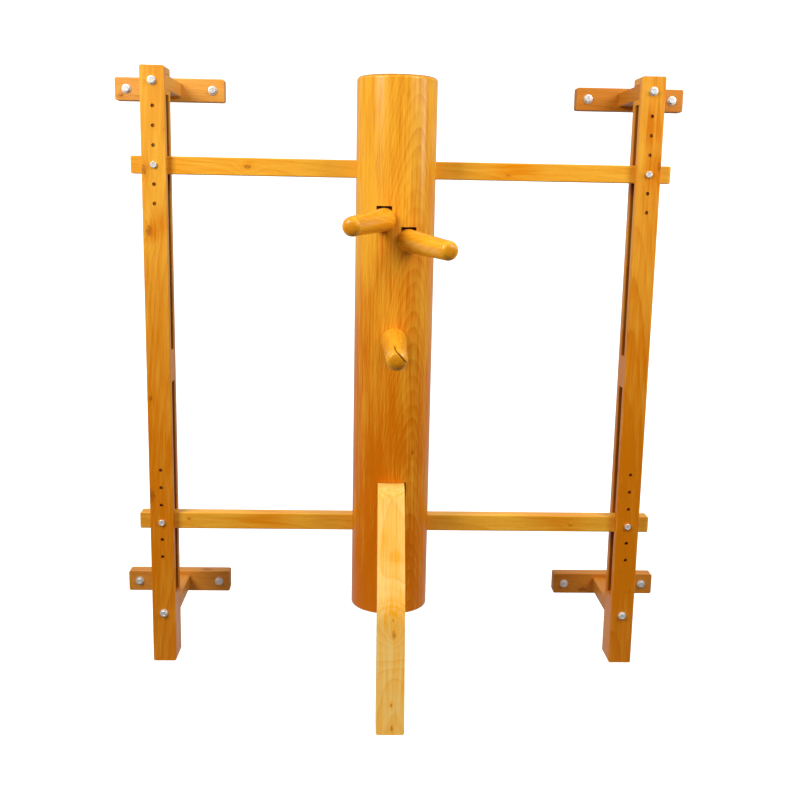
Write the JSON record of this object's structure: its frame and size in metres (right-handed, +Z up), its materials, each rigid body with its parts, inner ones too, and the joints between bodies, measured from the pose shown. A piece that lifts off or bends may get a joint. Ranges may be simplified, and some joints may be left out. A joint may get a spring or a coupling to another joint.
{
  "type": "wall-mounted wooden wing dummy",
  "caption": "Wall-mounted wooden training dummy: a round trunk with splayed arms and a bent leg, sliding on crossbars between slotted, height-adjustable uprights.",
  "frame": {"origin": "centre of the pattern of wall screws, on the wall plane", "axes": "+X to the right as seen by someone facing the dummy, +Y into the wall, +Z up"},
  "size_m": [1.776, 0.8557, 1.8],
  "materials": {
    "trunk_wood": "gloss varnish",
    "post_wood": "satin varnish",
    "bar_wood": "satin varnish",
    "bracket_wood": "satin varnish",
    "arm_wood": "gloss varnish",
    "leg_wood": "gloss varnish",
    "peg_wood": "satin varnish",
    "zinc_steel": "zinc plated",
    "screw_steel": "yellow zinc plated"
  },
  "bodies": {
    "frame": {"left_upright": "post_wood", "right_upright": "post_wood", "upper_left_wall_block": "bracket_wood", "upper_right_wall_block": "bracket_wood", "lower_left_wall_block": "bracket_wood", "lower_right_wall_block": "bracket_wood", "upper_left_standoff": "bracket_wood", "upper_right_standoff": "bracket_wood", "lower_left_standoff": "bracket_wood", "lower_right_standoff": "bracket_wood", "wall_screws": "zinc_steel", "wall_washers": "zinc_steel", "bracket_screws": "zinc_steel", "bracket_washers": "zinc_steel", "block_screws": "screw_steel", "upper_crossbar": "bar_wood", "lower_crossbar": "bar_wood", "crossbar_bolts": "zinc_steel", "crossbar_nuts": "zinc_steel", "crossbar_washers": "zinc_steel"},
    "trunk": {"trunk": "trunk_wood"},
    "upper_left_arm": {"upper_left_arm": "arm_wood"},
    "upper_right_arm": {"upper_right_arm": "arm_wood"},
    "middle_arm": {"middle_arm": "arm_wood"},
    "leg": {"leg": "leg_wood"},
    "upper_left_arm_peg": {"upper_left_arm_peg": "peg_wood"},
    "upper_right_arm_peg": {"upper_right_arm_peg": "peg_wood"},
    "middle_arm_peg": {"middle_arm_peg": "peg_wood"},
    "leg_peg": {"leg_peg": "peg_wood"}
  },
  "joints": [
    {"name": "trunk_slide", "type": "slide", "parent": "frame", "child": "trunk", "axis": [1, 0, 0], "range_m": [-0.545, 0.587]},
    {"name": "upper_left_arm_slide", "type": "slide", "parent": "trunk", "child": "upper_left_arm", "axis": [-0.3037, -0.9518, -0.0436], "range_m": [0, 0.008]},
    {"name": "upper_left_arm_peg_slide", "type": "slide", "parent": "upper_left_arm", "child": "upper_left_arm_peg", "axis": [-0.0133, -0.0416, 0.999], "range_m": [0, 0.07]},
    {"name": "upper_right_arm_slide", "type": "slide", "parent": "trunk", "child": "upper_right_arm", "axis": [0.3253, -0.9446, -0.0436], "range_m": [0, 0.008]},
    {"name": "upper_right_arm_peg_slide", "type": "slide", "parent": "upper_right_arm", "child": "upper_right_arm_peg", "axis": [0.0142, -0.0412, 0.999], "range_m": [0, 0.07]},
    {"name": "middle_arm_slide", "type": "slide", "parent": "trunk", "child": "middle_arm", "axis": [0, -0.999, -0.0436], "range_m": [0, 0.008]},
    {"name": "middle_arm_peg_slide", "type": "slide", "parent": "middle_arm", "child": "middle_arm_peg", "axis": [0, -0.0436, 0.999], "range_m": [0, 0.07]},
    {"name": "leg_slide", "type": "slide", "parent": "trunk", "child": "leg", "axis": [0, -1, 0], "range_m": [0, 0.008]},
    {"name": "leg_peg_slide", "type": "slide", "parent": "leg", "child": "leg_peg", "axis": [0, 0, 1], "range_m": [0, 0.07]}
  ]
}
